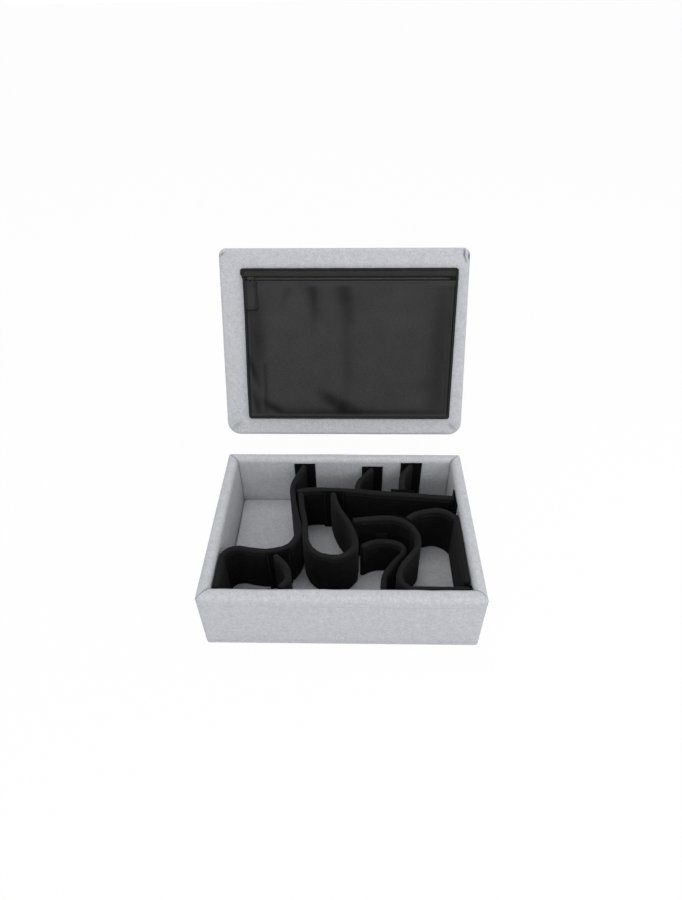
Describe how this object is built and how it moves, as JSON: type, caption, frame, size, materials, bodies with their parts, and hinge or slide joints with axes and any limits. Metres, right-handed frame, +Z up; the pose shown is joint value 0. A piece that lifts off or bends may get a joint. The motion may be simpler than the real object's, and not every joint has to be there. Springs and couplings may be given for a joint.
{
  "type": "case divider kit",
  "caption": "Padded tray with lift-out hook-and-loop dividers and a zipped, padded lid panel, made to line a hard carrying case.",
  "frame": {"origin": "centre of the tray's underside, where it rests on the case's floor", "axes": "+X to the right, +Y to the back, where the lid panel is, +Z up"},
  "size_m": [0.536, 0.6224, 0.5494],
  "materials": {
    "grey_loop_cloth": "brushed loop cloth, matte, slightly mottled",
    "black_loop_cloth": "brushed loop cloth, matte black",
    "hook_tape": "black hook tape",
    "foam": "closed-cell foam, matte",
    "stiffener_board": "plain board",
    "pocket_nylon": "satin woven nylon",
    "binding_tape": "grosgrain binding tape",
    "zip_teeth": "black zipper tape and teeth",
    "black_metal": "black painted metal"
  },
  "bodies": {
    "tray": {"floor_cover": "grey_loop_cloth", "floor_foam": "foam", "back_wall_cover": "grey_loop_cloth", "back_wall_foam": "foam", "front_wall_cover": "grey_loop_cloth", "front_wall_foam": "foam", "left_wall_cover": "grey_loop_cloth", "left_wall_foam": "foam", "right_wall_cover": "grey_loop_cloth", "right_wall_foam": "foam"},
    "lid_panel": {"lid_cover": "grey_loop_cloth", "lid_foam": "foam", "lid_board": "stiffener_board", "lid_hook_patch_lower_left": "hook_tape", "lid_hook_patch_lower_right": "hook_tape", "lid_hook_patch_upper_left": "hook_tape", "lid_hook_patch_upper_right": "hook_tape", "pocket_binding": "binding_tape", "pocket_front": "pocket_nylon", "pocket_top_band": "pocket_nylon", "zip_tape_upper": "zip_teeth", "zip_tape_lower": "zip_teeth"},
    "zip_slider": {"zip_slider": "black_metal"},
    "pull": {"pull_ring": "black_metal", "pull_tab": "pocket_nylon"},
    "left_s_divider": {"left_s_divider_pad": "black_loop_cloth", "left_s_divider_back_tab": "hook_tape"},
    "cross_divider": {"cross_divider_pad": "black_loop_cloth", "cross_divider_left_tab": "hook_tape", "cross_divider_right_tab": "hook_tape"},
    "u_divider": {"u_divider_pad": "black_loop_cloth", "u_divider_back_tab": "hook_tape"},
    "lens_divider_left": {"lens_divider_left_pad": "black_loop_cloth", "lens_divider_left_back_tab": "hook_tape", "lens_divider_left_front_tab": "hook_tape"},
    "lens_divider_right": {"lens_divider_right_pad": "black_loop_cloth", "lens_divider_right_back_tab": "hook_tape", "lens_divider_right_front_tab": "hook_tape"},
    "long_s_divider": {"long_s_divider_pad": "black_loop_cloth", "long_s_divider_left_tab": "hook_tape", "long_s_divider_corner_tab": "hook_tape"},
    "arch_divider": {"arch_divider_pad": "black_loop_cloth", "arch_divider_left_tab": "hook_tape"},
    "curl_divider": {"curl_divider_pad": "black_loop_cloth", "curl_divider_front_tab": "hook_tape", "curl_divider_tongue": "hook_tape"},
    "corner_divider": {"corner_divider_pad": "black_loop_cloth", "corner_divider_back_tab": "hook_tape", "corner_divider_front_tab": "hook_tape"}
  },
  "joints": [
    {"name": "lid_swing", "type": "hinge", "parent": "tray", "child": "lid_panel", "pos_m": [0, 0.2234, 0.1615], "axis": [-1, 0, 0], "range_deg": [-115.5, 0]},
    {"name": "zip_slide", "type": "slide", "parent": "lid_panel", "child": "zip_slider", "axis": [1, 0, 0], "range_m": [0, 0.418]},
    {"name": "pull_swing", "type": "hinge", "parent": "zip_slider", "child": "pull", "pos_m": [-0.2, 0.36233, 0.49924], "axis": [-1, 0, 0], "range_deg": [0, 150]},
    {"name": "left_s_lift_out", "type": "slide", "parent": "tray", "child": "left_s_divider", "axis": [0, 0, 1], "range_m": [0, 0.15]},
    {"name": "cross_lift_out", "type": "slide", "parent": "tray", "child": "cross_divider", "axis": [0, 0, 1], "range_m": [0, 0.15]},
    {"name": "u_lift_out", "type": "slide", "parent": "tray", "child": "u_divider", "axis": [0, 0, 1], "range_m": [0, 0.15]},
    {"name": "lens_left_lift_out", "type": "slide", "parent": "tray", "child": "lens_divider_left", "axis": [0, 0, 1], "range_m": [0, 0.15]},
    {"name": "lens_right_lift_out", "type": "slide", "parent": "tray", "child": "lens_divider_right", "axis": [0, 0, 1], "range_m": [0, 0.15]},
    {"name": "long_s_lift_out", "type": "slide", "parent": "tray", "child": "long_s_divider", "axis": [0, 0, 1], "range_m": [0, 0.15]},
    {"name": "arch_lift_out", "type": "slide", "parent": "tray", "child": "arch_divider", "axis": [0, 0, 1], "range_m": [0, 0.15]},
    {"name": "curl_lift_out", "type": "slide", "parent": "tray", "child": "curl_divider", "axis": [0, 0, 1], "range_m": [0, 0.15]},
    {"name": "corner_lift_out", "type": "slide", "parent": "tray", "child": "corner_divider", "axis": [0, 0, 1], "range_m": [0, 0.15]}
  ]
}
